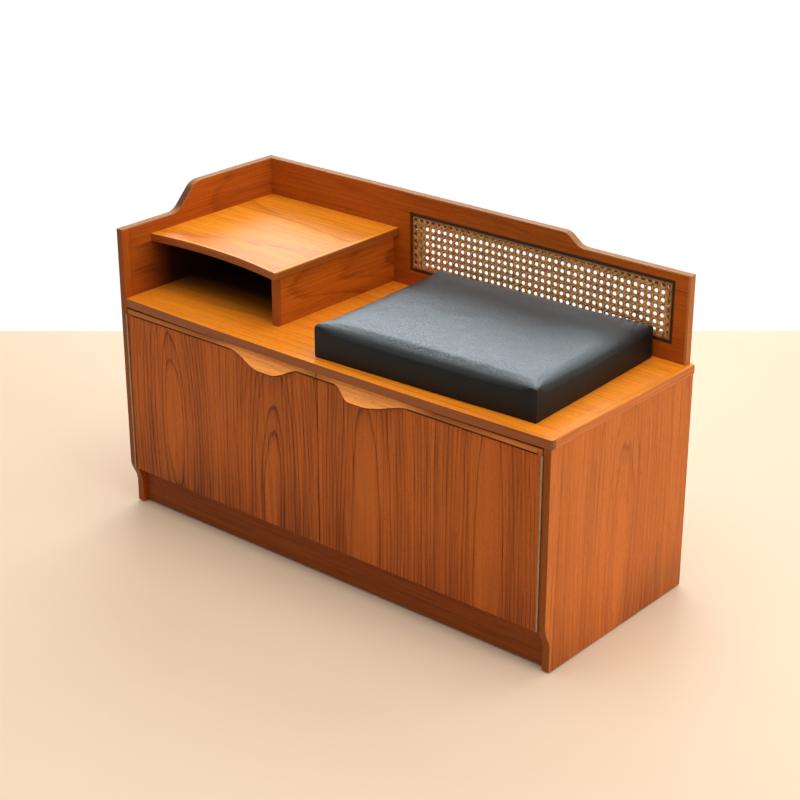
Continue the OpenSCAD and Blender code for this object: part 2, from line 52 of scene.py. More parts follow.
class Graph:
    """A material's node tree with short calls for the nodes used here."""

    def __init__(self, name):
        self.mat = bpy.data.materials.new(name)
        self.mat.use_nodes = True
        self.tree = self.mat.node_tree
        self.tree.nodes.clear()
        self.out = self.tree.nodes.new("ShaderNodeOutputMaterial")
        self.bsdf = self.tree.nodes.new("ShaderNodeBsdfPrincipled")
        self.tree.links.new(self.bsdf.outputs[0], self.out.inputs[0])
        self.coords = self.tree.nodes.new("ShaderNodeTexCoord").outputs["Object"]

    def put(self, socket, value):
        if isinstance(value, bpy.types.NodeSocket):
            self.tree.links.new(value, socket)
        elif value is not None:
            socket.default_value = value

    def math(self, op, a, b=None, c=None, clamp=False):
        n = self.tree.nodes.new("ShaderNodeMath")
        n.operation = op
        n.use_clamp = clamp
        for socket, value in zip(n.inputs, (a, b, c)):
            self.put(socket, value)
        return n.outputs[0]

    def split(self, vector):
        n = self.tree.nodes.new("ShaderNodeSeparateXYZ")
        self.put(n.inputs[0], vector)
        return n.outputs[0], n.outputs[1], n.outputs[2]

    def join(self, x, y, z):
        n = self.tree.nodes.new("ShaderNodeCombineXYZ")
        for socket, value in zip(n.inputs, (x, y, z)):
            self.put(socket, value)
        return n.outputs[0]

    def noise(self, vector, scale=1.0, detail=2.0, rough=0.5, dist=0.0):
        n = self.tree.nodes.new("ShaderNodeTexNoise")
        self.put(n.inputs["Vector"], vector)
        n.inputs["Scale"].default_value = scale
        n.inputs["Detail"].default_value = detail
        n.inputs["Roughness"].default_value = rough
        n.inputs["Distortion"].default_value = dist
        return n.outputs["Fac"]

    def cells(self, vector, scale, feature="F1"):
        n = self.tree.nodes.new("ShaderNodeTexVoronoi")
        n.feature = feature
        self.put(n.inputs["Vector"], vector)
        n.inputs["Scale"].default_value = scale
        return n.outputs["Distance"]

    def chance(self, value):
        n = self.tree.nodes.new("ShaderNodeTexWhiteNoise")
        n.noise_dimensions = "1D"
        self.put(n.inputs["W"], value)
        return n.outputs["Value"]

    def ramp(self, value, stops):
        n = self.tree.nodes.new("ShaderNodeValToRGB")
        self.put(n.inputs[0], value)
        while len(n.color_ramp.elements) < len(stops):
            n.color_ramp.elements.new(0.5)
        for e, (at, grey) in zip(n.color_ramp.elements, stops):
            e.position = at
            e.color = (grey, grey, grey, 1)
        return n.outputs[0]

    def mix(self, share, a, b, how="MIX"):
        n = self.tree.nodes.new("ShaderNodeMix")
        n.data_type = "RGBA"
        n.blend_type = how
        self.put(n.inputs[0], share)
        for socket, value in ((n.inputs[6], a), (n.inputs[7], b)):
            self.put(socket, (*value, 1) if isinstance(value, tuple) else value)
        return n.outputs[2]

    def span(self, value, a, b, c=0.0, d=1.0):
        n = self.tree.nodes.new("ShaderNodeMapRange")
        self.put(n.inputs["Value"], value)
        for key, v in (("From Min", a), ("From Max", b), ("To Min", c), ("To Max", d)):
            n.inputs[key].default_value = v
        return n.outputs[0]

    def bump(self, height, strength, distance):
        n = self.tree.nodes.new("ShaderNodeBump")
        n.inputs["Strength"].default_value = strength
        n.inputs["Distance"].default_value = distance
        self.put(n.inputs["Height"], height)
        self.tree.links.new(n.outputs[0], self.bsdf.inputs["Normal"])

    def finish(self, colour=None, rough=None, **plain):
        self.put(self.bsdf.inputs["Base Color"], colour)
        self.put(self.bsdf.inputs["Roughness"], rough)
        for key, value in plain.items():
            self.bsdf.inputs[key.replace("_", " ")].default_value = value
        return self.mat


def shade(colour, k):
    return tuple(min(1.0, c * k) for c in colour)


FIELD_MEAN = 0.42  # mean of the stretched noise fields below
PAINTED_SHADE = (0.016, 0.004, 0.002)  # painted shade: the near black given to wood under the shelf in place of its shadow
# how dark a growth ring is, from its early wood at 0 to its late wood near 0.9
RING_PROFILE = [(0.0, 0.04), (0.45, 0.08), (0.74, 0.35), (0.87, 1.0), (0.95, 0.8), (1.0, 0.04)]


def wood(name, grain, across, light, dark, ring=0.008, slope=0.05, pith=(0.0, 0.0), depth=0.03, leaf=0.0,
         start=0.0, step=0.0, heart=0.0, figure=0.55, streaks=0.5, bands=0.4, sheen=0.42, seed=0.0,
         pores=0.5, gloss=0.25, front=None, rim=None, painted_shade_box=None, fade=None, bottom_shade=None):
    """Sliced teak: growth rings cut at a low angle, fibre streaks and open pores.

    grain, across       axis letters along and across the fibres
    light, dark         colours of the early and the late wood
    ring, slope, depth  ring spacing, angle of the cut and its distance from the pith
    pith                the figure's centre, across and along the grain
    leaf, start, step   width of the book-matched leaves, where the first one starts, and the shift
                        from one leaf to the next along the grain
    heart               half width of the plain wood inside the figure
    figure, streaks, bands, pores  how strongly each of these shows
    sheen, gloss        roughness and specular level
    front, rim          painted shade: the two colours given to faces that look forwards, and to all that do not look up
    unfaded             corners of a space whose wood gets a painted shade, near black
    fade                a place along x and the half width past which a painted shade makes the wood dark
    soil                the height of the bottom edge, where a painted shade darkens the wood; it fades out 0.15 m higher
    """
    g = Graph(name)
    xyz = dict(zip("xyz", g.split(g.coords)))
    thick = next(k for k in "xyz" if k not in (grain, across))
    u, v, w = xyz[across], xyz[thick], xyz[grain]

    def field(scale_u, scale_w, detail, rough=0.5, shift=0.0, low=0.3, high=0.7):
        """Noise drawn out along the grain, spread to the range 0 to 1."""
        p = g.join(g.math("MULTIPLY", u, scale_u), g.math("MULTIPLY_ADD", v, scale_u, seed + shift),
                   g.math("MULTIPLY", w, scale_w))
        return g.span(g.noise(p, 1.0, detail, rough), low, high)

    u_leaf, w_leaf = u, w
    if leaf:
        along = g.math("SUBTRACT", u, start)
        u_leaf = g.math("PINGPONG", along, leaf)
        w_leaf = g.math("MULTIPLY_ADD", g.math("GREATER_THAN", along, leaf), step, w)
    slow = field(5.0, 1.6, 1.0, shift=1.0)
    turn = field(9.0, 3.0, 1.0, shift=7.0)
    fine = field(70.0, 7.0, 2.0, shift=3.0)

    # growth rings: the distance from a wandering pith, with each ring's own strength
    qu = g.math("SUBTRACT", u_leaf, pith[0])
    qu = g.math("ADD", qu, g.math("MULTIPLY_ADD", slow, 0.016, -0.008))
    qv = g.math("MULTIPLY_ADD", g.math("SUBTRACT", w_leaf, pith[1]), slope, depth)
    qv = g.math("ADD", g.math("ADD", qv, v), g.math("MULTIPLY_ADD", turn, 0.008, -0.004))
    r = g.math("SQRT", g.math("ADD", g.math("MULTIPLY", qu, qu), g.math("MULTIPLY", qv, qv)))
    t = g.math("ADD", g.math("DIVIDE", r, ring), g.math("MULTIPLY", fine, 0.30))
    weight = g.span(g.chance(g.math("FLOOR", t)), 0.0, 1.0, 0.10, 1.0)
    line = g.math("MULTIPLY", g.ramp(g.math("FRACT", t), RING_PROFILE), weight)
    plain = g.span(r, heart * 0.75, heart * 1.05, 0.0, 1.0) if heart else 1.0
    line = g.math("MULTIPLY", line, g.math("MULTIPLY_ADD", plain, 0.88, 0.12))

    # share: how far the colour goes from light to dark
    streak = field(190.0, 3.2, 3.0, 0.6, shift=5.0)
    dash = g.math("POWER", field(300.0, 8.0, 2.0, 0.55, shift=17.0, low=0.40, high=0.74), 1.6)
    fibre = field(1100.0, 20.0, 2.0, 0.6, shift=9.0)
    pore = field(1900.0, 80.0, 1.0, shift=13.0, low=0.6, high=0.72)
    band = field(16.0, 0.8, 2.0, shift=11.0)
    cloud = g.noise(g.coords, 4.0, 2.0)
    share = g.math("MULTIPLY", line, figure)
    share = g.math("ADD", share, g.math("MULTIPLY_ADD", streak, streaks, -FIELD_MEAN * streaks))
    dash = g.math("MULTIPLY", dash, g.math("MULTIPLY_ADD", plain, 0.65, 0.35))
    share = g.math("ADD", share, g.math("MULTIPLY", dash, 0.9 * streaks))
    share = g.math("SUBTRACT", share, g.math("MULTIPLY_ADD", plain, -0.14, 0.14))
    # painted shade: darker towards the bottom, fading out 0.15 m above it
    if bottom_shade is not None:
        share = g.math("ADD", share, g.span(xyz["z"], bottom_shade, bottom_shade + 0.15, 0.36, 0.0))
    share = g.math("ADD", share, g.math("MULTIPLY_ADD", band, bands, -FIELD_MEAN * bands))
    share = g.math("ADD", share, g.math("MULTIPLY_ADD", fibre, 0.16, -0.06), clamp=True)
    # painted shade: the wood turns dark away from the given place
    if fade:
        gone = g.math("ABSOLUTE", g.math("SUBTRACT", xyz["x"], fade[0]))
        share = g.math("MAXIMUM", share, g.span(gone, fade[1] * 0.45, fade[1], 0.0, 0.85))

    colour = g.mix(share, light, dark)
    colour = g.mix(g.math("MULTIPLY", g.span(cloud, 0.35, 0.75), 0.3), colour,
                   (light[0] * 1.06, light[1] * 0.86, light[2] * 0.7))
    facing = g.split(g.tree.nodes.new("ShaderNodeTexCoord").outputs["Normal"])
    # painted shade: faces that do not look up take the darker rim colours
    if rim:
        colour = g.mix(g.span(facing[2], 0.8, 0.6), colour, g.mix(share, rim[0], rim[1]))
    # painted shade: faces that look forwards take the darker front colours
    if front:
        colour = g.mix(g.span(facing[1], -0.45, -0.75), colour, g.mix(share, front[0], front[1]))
    # painted shade: the wood inside the given box turns near black
    if painted_shade_box:
        (x0, y0, z0), (x1, y1, z1) = painted_shade_box
        inside = g.span(xyz["y"], y0, y0 + 0.12)
        for axis, high in (("y", y1), ("x", x1), ("z", z1)):
            inside = g.math("MULTIPLY", inside, g.math("LESS_THAN", xyz[axis], high + 0.001))
        for axis, low in (("x", x0), ("z", z0)):
            inside = g.math("MULTIPLY", inside, g.math("GREATER_THAN", xyz[axis], low - 0.001))
        colour = g.mix(g.math("MULTIPLY", inside, 0.96), colour, PAINTED_SHADE)
    colour = g.mix(g.math("MULTIPLY", pore, pores), colour, shade(dark, 0.45))
    rough = g.math("MULTIPLY_ADD", fibre, 0.12, sheen - 0.05)
    rough = g.math("ADD", rough, g.math("MULTIPLY", pore, 0.16))
    height = g.math("SUBTRACT", g.math("MULTIPLY", fibre, 0.5), g.math("MULTIPLY", pore, 0.9))
    g.bump(height, 0.25, 0.00022)
    return g.finish(colour, rough, Specular_IOR_Level=gloss, Specular_Tint=(1.0, 0.82, 0.58, 1.0))


def plain_wood(name, grain, light, dark, sheen=0.6):
    """Straight-grained softwood or ply for the hidden pieces."""
    g = Graph(name)
    scale = {k: (3.0 if k == grain else 160.0) for k in "xyz"}
    x, y, z = g.split(g.coords)
    p = g.join(g.math("MULTIPLY", x, scale["x"]), g.math("MULTIPLY", y, scale["y"]),
               g.math("MULTIPLY", z, scale["z"]))
    streak = g.noise(p, 1.0, 4.0, 0.6)
    broad = g.noise(p, 0.12, 2.0, 0.5, 0.4)
    broad = g.math("MULTIPLY_ADD", broad, 0.9, -0.35)
    share = g.math("ADD", g.math("MULTIPLY", streak, 0.6), broad, clamp=True)
    g.bump(streak, 0.25, 0.0003)
    return g.finish(g.mix(share, light, dark), g.math("MULTIPLY_ADD", streak, 0.2, sheen - 0.1))


def metal(name, colour, rough, grain=900.0, tarnish=0.4):
    """Brushed metal with tarnish in patches and fine drawing lines."""
    g = Graph(name)
    x, y, z = g.split(g.coords)
    lines = g.noise(g.join(g.math("MULTIPLY", x, grain), g.math("MULTIPLY", y, grain),
                           g.math("MULTIPLY", z, 40.0)), 1.0, 2.0)
    patch = g.noise(g.coords, 90.0, 4.0, 0.65)
    base = g.mix(g.math("MULTIPLY", g.span(patch, 0.45, 0.75), tarnish), colour, shade(colour, 0.4))
    g.bump(lines, 0.12, 0.0001)
    return g.finish(g.mix(g.math("MULTIPLY", lines, 0.25), base, shade(colour, 0.7)),
                    g.math("MULTIPLY_ADD", patch, 0.25, rough - 0.1), Metallic=1.0)


def moulded(name, colour, rough):
    """Moulded plastic with a faint orange-peel and scuffs."""
    g = Graph(name)
    peel = g.noise(g.coords, 1400.0, 2.0)
    scuff = g.noise(g.coords, 220.0, 5.0, 0.7, 1.5)
    g.bump(peel, 0.15, 0.0002)
    return g.finish(g.mix(g.span(scuff, 0.55, 0.8, 0.0, 0.4), colour, shade(colour, 1.8)),
                    g.math("MULTIPLY_ADD", scuff, 0.3, rough - 0.15))


def vinyl(name, colour, sheen_share):
    """Black leathercloth: pressed hide grain, soft creases and a worn satin.
    polish is 0 on the matt sides and 1 on the seat: a painted sheen, set by each face's slope."""
    g = Graph(name)
    x, y, z = g.split(g.coords)
    big = g.noise(g.coords, 26.0, 3.0, 0.55)
    bent = g.join(g.math("MULTIPLY_ADD", big, 0.006, x), g.math("MULTIPLY_ADD", big, -0.005, y), z)
    grain = g.cells(bent, 420.0, "SMOOTH_F1")
    crease = g.cells(bent, 170.0, "DISTANCE_TO_EDGE")
    drawn = g.join(g.math("MULTIPLY", x, 160.0), g.math("MULTIPLY", y, 34.0), g.math("MULTIPLY", z, 60.0))
    pull = g.noise(drawn, 1.0, 3.0)
    fine = g.noise(g.coords, 1500.0, 2.0, 0.6)
    wear = g.noise(g.coords, 9.0, 4.0, 0.6)
    flat = g.math("MINIMUM", g.math("MULTIPLY", crease, 9.0), 1.0)
    height = g.math("ADD", g.math("MULTIPLY", flat, 0.8), g.math("MULTIPLY", grain, -0.9))
    height = g.math("ADD", height, g.math("MULTIPLY", fine, 0.18))
    height = g.math("ADD", height, g.math("MULTIPLY", pull, 0.9))
    g.bump(height, 0.39, 0.0006)
    rough = g.math("MULTIPLY_ADD", wear, 0.10, 0.39 - 0.10 * sheen_share)
    rough = g.math("ADD", rough, g.math("MULTIPLY", fine, 0.06))
    worn = g.mix(g.span(wear, 0.35, 0.75, 0.0, 0.6), colour, shade(colour, 1.7))
    # painted sheen: the specular level rises from the sides up to the seat, and the bluish specular tint
    # stands in for daylight
    return g.finish(worn, rough, IOR=1.52, Specular_IOR_Level=0.24 + 0.74 * sheen_share,
                    Specular_Tint=(0.84, 0.97, 1.0, 1.0))


def cane_material(name, light, dark):
    """Split cane: glossy bark with node marks."""
    g = Graph(name)
    patch = g.noise(g.coords, 170.0, 3.0, 0.6)
    fine = g.noise(g.coords, 700.0, 2.0)
    marks = g.noise(g.coords, 34.0, 2.0, 0.5)
    share = g.math("ADD", g.math("MULTIPLY", patch, 0.6), g.math("MULTIPLY", fine, 0.4), clamp=True)
    colour = g.mix(g.span(share, 0.38, 0.62), light, dark)
    colour = g.mix(g.span(marks, 0.62, 0.72, 0.0, 0.55), colour, shade(dark, 0.5))
    g.bump(fine, 0.2, 0.0002)
    return g.finish(colour, g.math("MULTIPLY_ADD", patch, 0.25, 0.3))


# ------------------------------------------------------------------ materials

# each wood's colour in its early and its late wood
DOOR_L, DOOR_D = (0.475, 0.116, 0.018), (0.105, 0.018, 0.004)
DECK_L, DECK_D = (0.925, 0.282, 0.013), (0.500, 0.100, 0.004)
SHELF_L, SHELF_D = (0.890, 0.300, 0.016), (0.450, 0.105, 0.004)
SIDE_L, SIDE_D = (0.620, 0.165, 0.026), (0.215, 0.040, 0.006)
BACK_L, BACK_D = (0.412, 0.090, 0.007), (0.180, 0.028, 0.003)
# EDGE: painted shade on the deck lipping's faces that do not look up
EDGE_L, EDGE_D = (0.260, 0.064, 0.012), (0.090, 0.018, 0.004)
LIP_L, LIP_D = (0.950, 0.350, 0.075), (0.240, 0.058, 0.010)
# MID: the support lipping's own wood, and also painted shade on faces that do not look up or that look
# forwards
MID_L, MID_D = (0.320, 0.078, 0.010), (0.150, 0.030, 0.004)
WORN_L, WORN_D = (0.400, 0.180, 0.070), (0.240, 0.088, 0.028)
# painted shade on the top edging's faces that look forwards
EDGING_FRONT_SHADE = (0.130, 0.055, 0.028), (0.060, 0.024, 0.012)
LEAF = 0.2577  # width of the doors' veneer leaves

left_door, right_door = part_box("left_door_panel"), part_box("right_door_panel")
door_top = left_door[1].z
shelf_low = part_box("phone_shelf_board")[0]
# the space under the shelf, given a painted shade, and the same with the part of the left panel in its
# shadow
cubby = ((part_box("left_side_panel")[1].x, shelf_low.y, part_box("deck_board")[1].z),
         (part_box("phone_shelf_support")[0].x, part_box("backboard")[0].y, shelf_low.z))
cubby_wall = ((cubby[0][0], cubby[0][1] - 0.065, cubby[0][2]), cubby[1])

# the rim and front colours passed below are painted shade on faces that do not look up or that look
# forwards
mat = {}
# the doors and the right side panel get a painted shade towards the bottom
mat["left_door"] = wood(
    "teak_left_door", "z", "x", DOOR_L, DOOR_D, ring=0.0095, slope=0.19, pith=(0.120, door_top - 0.215),
    depth=-left_door[0].y, leaf=LEAF, start=left_door[0].x, step=0.075, heart=0.026, bottom_shade=left_door[0].z,
    figure=0.80, streaks=0.48, bands=0.30, seed=2.4, sheen=0.46, gloss=0.16)
mat["right_door"] = wood(
    "teak_right_door", "z", "x", DOOR_L, DOOR_D, ring=0.0090, slope=0.095, pith=(0.112, door_top - 0.36),
    depth=-right_door[0].y, leaf=LEAF, start=right_door[0].x, step=-0.10, heart=0.032,
    bottom_shade=right_door[0].z, figure=0.80, streaks=0.48, bands=0.30, seed=9.0, sheen=0.46, gloss=0.16)
mat["side"] = wood(
    "teak_side", "z", "y", shade(SIDE_L, 0.97), SIDE_D, ring=0.013, slope=0.15, pith=(0.02, 0.15),
    depth=-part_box("right_side_panel")[1].x, heart=0.02, figure=0.42, streaks=0.40, bands=0.40, seed=4.0,
    sheen=0.42, gloss=0.18, bottom_shade=0.0)
# painted shade: the deck under the shelf turns near black
mat["deck"] = wood(
    "teak_deck", "x", "y", DECK_L, DECK_D, ring=0.009, slope=0.02, pith=(0.05, 0.2), depth=0.05,
    figure=0.40, streaks=0.45, bands=0.40, seed=5.0, sheen=0.40, gloss=0.50, painted_shade_box=cubby,
    rim=(MID_L, MID_D))
mat["deck_front"] = wood(
    "teak_deck_front", "x", "y", DECK_L, DECK_D, ring=0.009, slope=0.02, depth=0.05, figure=0.35,
    streaks=0.45, seed=5.5, sheen=0.40, gloss=0.50, rim=(EDGE_L, EDGE_D))
mat["deck_side"] = wood(
    "teak_deck_side", "y", "x", shade(DECK_L, 0.9), shade(DECK_D, 0.9), ring=0.009, slope=0.02,
    depth=0.05, figure=0.35, streaks=0.45, seed=5.8, sheen=0.40, gloss=0.35,
    rim=(shade(SIDE_L, 1.05), SIDE_D))
# painted shade: the shelf board's edges and underside are near black
mat["shelf"] = wood(
    "teak_shelf", "x", "y", SHELF_L, SHELF_D, ring=0.010, slope=0.03, pith=(0.02, -0.3), depth=0.04,
    figure=0.50, streaks=0.62, bands=0.65, seed=6.0, sheen=0.36, gloss=0.22,
    rim=((0.05, 0.013, 0.004), (0.03, 0.008, 0.003)))
for axis, across in (("x", "y"), ("y", "x")):
    mat["shelf_" + axis] = wood(
        "teak_shelf_lipping_" + axis, axis, across, SHELF_L, SHELF_D, ring=0.009, slope=0.02, depth=0.05,
        figure=0.35, streaks=0.5, seed=6.5, sheen=0.38, gloss=0.42, rim=(MID_L, MID_D))
# painted shade: the backboard under the shelf turns near black
mat["back"] = wood(
    "teak_back", "x", "z", BACK_L, BACK_D, ring=0.011, slope=0.03, pith=(0.55, 0.1), depth=0.05,
    figure=0.36, streaks=0.5, bands=0.3, seed=7.0, sheen=0.44, gloss=0.18, painted_shade_box=cubby)
# painted shade: the left panel's wall beside the space under the shelf turns near black
mat["left_panel"] = wood(
    "teak_left_panel", "y", "z", shade(BACK_L, 1.1), BACK_D, ring=0.010, slope=0.05, pith=(0.60, 0.0),
    depth=0.03, figure=0.5, streaks=0.55, bands=0.4, seed=8.0, sheen=0.44, gloss=0.2,
    painted_shade_box=cubby_wall)
mat["left_front"] = wood(
    "teak_left_front", "z", "x", shade(BACK_L, 1.05), BACK_D, ring=0.007, depth=0.05, figure=0.4,
    seed=18.0, gloss=0.2, front=(shade(MID_L, 0.8), MID_D))
mat["right_front"] = wood(
    "teak_right_front", "z", "y", shade(SIDE_L, 0.95), shade(SIDE_D, 1.2), ring=0.007, depth=0.05,
    figure=0.3, seed=19.0, gloss=0.2, front=(shade(MID_L, 0.8), MID_D))
mat["support"] = wood(
    "teak_support", "y", "z", (0.510, 0.122, 0.008), BACK_D, ring=0.010, slope=0.06, pith=(0.52, 0.05),
    depth=0.01, figure=0.6, streaks=0.55, bands=0.3, seed=3.0, sheen=0.44, gloss=0.2)
mat["support_lipping"] = wood(
    "teak_mid_z", "z", "y", MID_L, MID_D, ring=0.006, slope=0.02, depth=0.05, figure=0.35, streaks=0.5,
    bands=0.3, seed=16.0, sheen=0.44)
mat["plinth"] = wood(
    "teak_plinth", "x", "z", (0.250, 0.056, 0.009), (0.110, 0.021, 0.004), ring=0.012, slope=0.02,
    pith=(0.04, 0.0), depth=0.04, figure=0.40, streaks=0.55, bands=0.35, seed=1.0, sheen=0.48, gloss=0.14)
mat["floorboard"] = wood("teak_floorboard", "x", "y", shade(SIDE_L, 0.8), shade(SIDE_D, 0.8), seed=12.0,
                         figure=0.3, sheen=0.5)
for axis, across in (("x", "y"), ("y", "z"), ("z", "y")):
    mat["worn_" + axis] = wood(
        "teak_edging_" + axis, axis, across, WORN_L, WORN_D, ring=0.006, slope=0.02, depth=0.05,
        figure=0.2, streaks=0.5, bands=0.5, seed=15.0, sheen=0.52, pores=0.15, gloss=0.10,
        front=EDGING_FRONT_SHADE if axis == "y" else None)
# painted shade: the colours of the door lips' rims and undersides
mat["lip_rim"] = wood("teak_lip_rim", "x", "y", (0.150, 0.040, 0.009), (0.080, 0.020, 0.005), ring=0.006,
                      depth=0.05, figure=0.3, seed=21.0, gloss=0.15)
mat["end_lipping"] = wood("teak_end_lipping", "z", "y", (0.50, 0.155, 0.026), (0.27, 0.065, 0.010),
                          ring=0.006, depth=0.05, figure=0.3, seed=22.0)
# painted shade: the cane frame is coloured dark so that the weave's holes and its border read as shadow
mat["frame"] = plain_wood("dark_frame", "z", (0.140, 0.055, 0.018), (0.070, 0.026, 0.009))
mat["beech"] = plain_wood("beech_dowel", "z", (0.55, 0.36, 0.20), (0.38, 0.22, 0.11))
mat["blocks"] = plain_wood("softwood_block", "x", (0.62, 0.42, 0.22), (0.42, 0.24, 0.10))
mat["ply"] = plain_wood("plywood_back", "x", (0.50, 0.32, 0.17), (0.34, 0.19, 0.09))
mat["cane"] = cane_material("cane_strand", (0.80, 0.39, 0.105), (0.15, 0.050, 0.010))
mat["spline"] = cane_material("cane_spline", (0.42, 0.19, 0.065), (0.17, 0.065, 0.020))
mat["brass"] = metal("brass_hinge", (0.40, 0.30, 0.19), 0.5)
mat["screw"] = metal("brass_screw", (0.66, 0.48, 0.22), 0.3)
mat["steel"] = metal("plated_steel", (0.56, 0.56, 0.55), 0.34)
mat["thread"] = moulded("waxed_thread", (0.045, 0.047, 0.050), 0.6)
mat["plastic"] = moulded("brown_catch", (0.055, 0.026, 0.014), 0.45)

VINYL_STEPS = 6  # steps of the painted sheen, from the leathercloth's sides up to the seat
vinyls = [vinyl(f"black_vinyl_{i}", (0.0035, 0.0038, 0.0040), i / VINYL_STEPS)
          for i in range(VINYL_STEPS + 1)]

# node: its material and the width of its eased arrises in millimetres
DRESS = {
    "left_side_panel": ("left_panel", 0), "left_panel_front_lipping": ("left_front", 0.8),
    "left_panel_top_edging": ("worn_y", 0), "right_side_panel": ("side", 0),
    "right_panel_front_lipping": ("right_front", 0.8), "deck_board": ("deck", 0),
    "deck_front_lipping": ("deck_front", 0.8), "deck_side_lipping": ("deck_side", 0),
    "deck_dowels": ("beech", 0), "bottom_board": ("floorboard", 0), "bottom_board_dowels": ("beech", 0),
    "plinth_front": ("plinth", 0), "plinth_rear": ("blocks", 0), "plinth_dowels": ("beech", 0),
    "plinth_glue_blocks": ("blocks", 0.8), "back_panel": ("ply", 0), "back_panel_pins": ("steel", 0),
    "backboard": ("back", 0), "backboard_top_edging": ("worn_x", 0),
    "backboard_end_lipping": ("end_lipping", 0.8), "backboard_dowels": ("beech", 0),
    "cane_frame_stiles": ("frame", 0.5), "cane_frame_rails": ("frame", 0.5),
    "cane_spline": ("spline", 0.5), "phone_shelf_board": ("shelf", 0),
    "phone_shelf_front_lipping": ("shelf_x", 0.8), "phone_shelf_side_lipping": ("shelf_y", 0.8),
    "phone_shelf_support": ("support", 0), "phone_shelf_support_lipping": ("support_lipping", 0.8),
    "phone_shelf_dowels": ("beech", 0), "floor_glides": ("steel", 0), "door_catches": ("plastic", 0.5),
    "catch_screws": ("steel", 0), "cushion_board": ("ply", 0.8),
}
for side in ("left", "right"):
    DRESS[side + "_door_panel"] = (side + "_door", 0)
    DRESS[side + "_catch_plate"] = ("steel", 0.2)
    DRESS[side + "_catch_plate_screw"] = ("screw", 0)
    DRESS[side + "_hinge_pin"] = ("steel", 0)
    for leaf in ("frame", "door"):
        DRESS[f"{side}_hinge_{leaf}_leaf"] = ("brass", 0)
        DRESS[f"{side}_hinge_{leaf}_screws"] = ("screw", 0)
WORN_ARRIS = {"backboard_end_lipping": "worn_z"}  # the arrises that wear has left paler


def ease(o, width):
    """Rounds a CAD piece's arrises with modifiers only."""
    weld = o.modifiers.new("Weld", "WELD")
    weld.merge_threshold = 0.00001
    bevel = o.modifiers.new("Arris", "BEVEL")
    bevel.width = width
    bevel.segments = 2
    bevel.limit_method = "ANGLE"
    bevel.angle_limit = math.radians(50)
    bevel.use_clamp_overlap = False
    return bevel


def dress():
    for name, (face, width) in DRESS.items():
        o = NODES[name]
        o.data.materials.clear()
        o.data.materials.append(mat[face])
        if width:
            bevel = ease(o, width / 1000)
            if name in WORN_ARRIS:
                o.data.materials.append(mat[WORN_ARRIS[name]])
                bevel.material = 1


dress()


# --------------------------------------------------------------- mesh helpers

def new_mesh(name, verts, faces, material, smooth=True):
    me = bpy.data.meshes.new(name)
    me.from_pydata([tuple(v) for v in verts], [], faces)
    me.validate()
    me.update()
    if smooth:
        me.shade_smooth()
    o = bpy.data.objects.new(name, me)
    scene.collection.objects.link(o)
    me.materials.append(material)
    return o


def tube(points, ring_at):
    """Vertices and faces of a closed-ended tube: ring_at(i, point) gives each ring of points."""
    verts, faces = [], []
    rings = [ring_at(i, p) for i, p in enumerate(points)]
    n = len(rings[0])
    for ring in rings:
        verts.extend(ring)
    for i in range(len(rings) - 1):
        for k in range(n):
            a, b = i * n + k, i * n + (k + 1) % n
            faces.append((a, b, b + n, a + n))
    faces.append(tuple(range(n - 1, -1, -1)))
    last = (len(rings) - 1) * n
    faces.append(tuple(range(last, last + n)))
    return verts, faces


def smoothstep(t):
    t = min(1.0, max(0.0, t))
    return t * t * (3 - 2 * t)


# --------------------------------------------------------- sculpted door lips

# The lip's hollow and its back are arcs about one line in front of and above the door's top edge.
# These are the line's depth and height and the two radii, in millimetres.
AXIS_Y, AXIS_Z, HOLLOW_R, BACK_R = -40.4, 16.7, 43.7, 49.7
LIP_TOP = [(16.0, -8.0), (16.0, -0.7), (15.3, 0.0)]  # its rear edge, let into the door's top
PLAIN_END = 9.0  # the plain strip that runs on to the hinge


def lip_reach(t):
    """How far the lip stands out at t millimetres from its door's meeting edge, in millimetres."""
    return 8 + 24.5 * smoothstep((t - 43) / 55) * (1 - smoothstep((t - 124) / 103))


def lip_section(reach):
    """Depth-height outline of the lip, in millimetres from its top front line, for one reach."""
    top = math.atan2(-AXIS_Z, -AXIS_Y)
    tip = top - 2 * math.asin(min(1.0, reach / (2 * HOLLOW_R)))
    end = -math.acos(-AXIS_Y / BACK_R)
    slim = 1 - 0.40 * smoothstep((reach - 8) / 22)

    def at(depth, angle):
        """A point on the arc that lies depth of the way from the hollow to the back."""
        r = HOLLOW_R + (BACK_R - HOLLOW_R) * depth
        return AXIS_Y + r * math.cos(angle), AXIS_Z + r * math.sin(angle)

    outline = LIP_TOP + [(8.0, 0.0), (1.0, 0.0)]
    outline += [at(0, top + (tip - top) * i / 14) for i in range(15)]
    for i in range(1, 8):
        swell = 1.1 * math.sin(math.pi * i / 8)
        outline.append(at(i / 8 * slim, tip - swell / HOLLOW_R))
    outline += [at(slim + (1 - slim) * smoothstep(i / 10), tip + (end - tip) * i / 10) for i in range(11)]
    return outline + [(0.0, -8.0)]


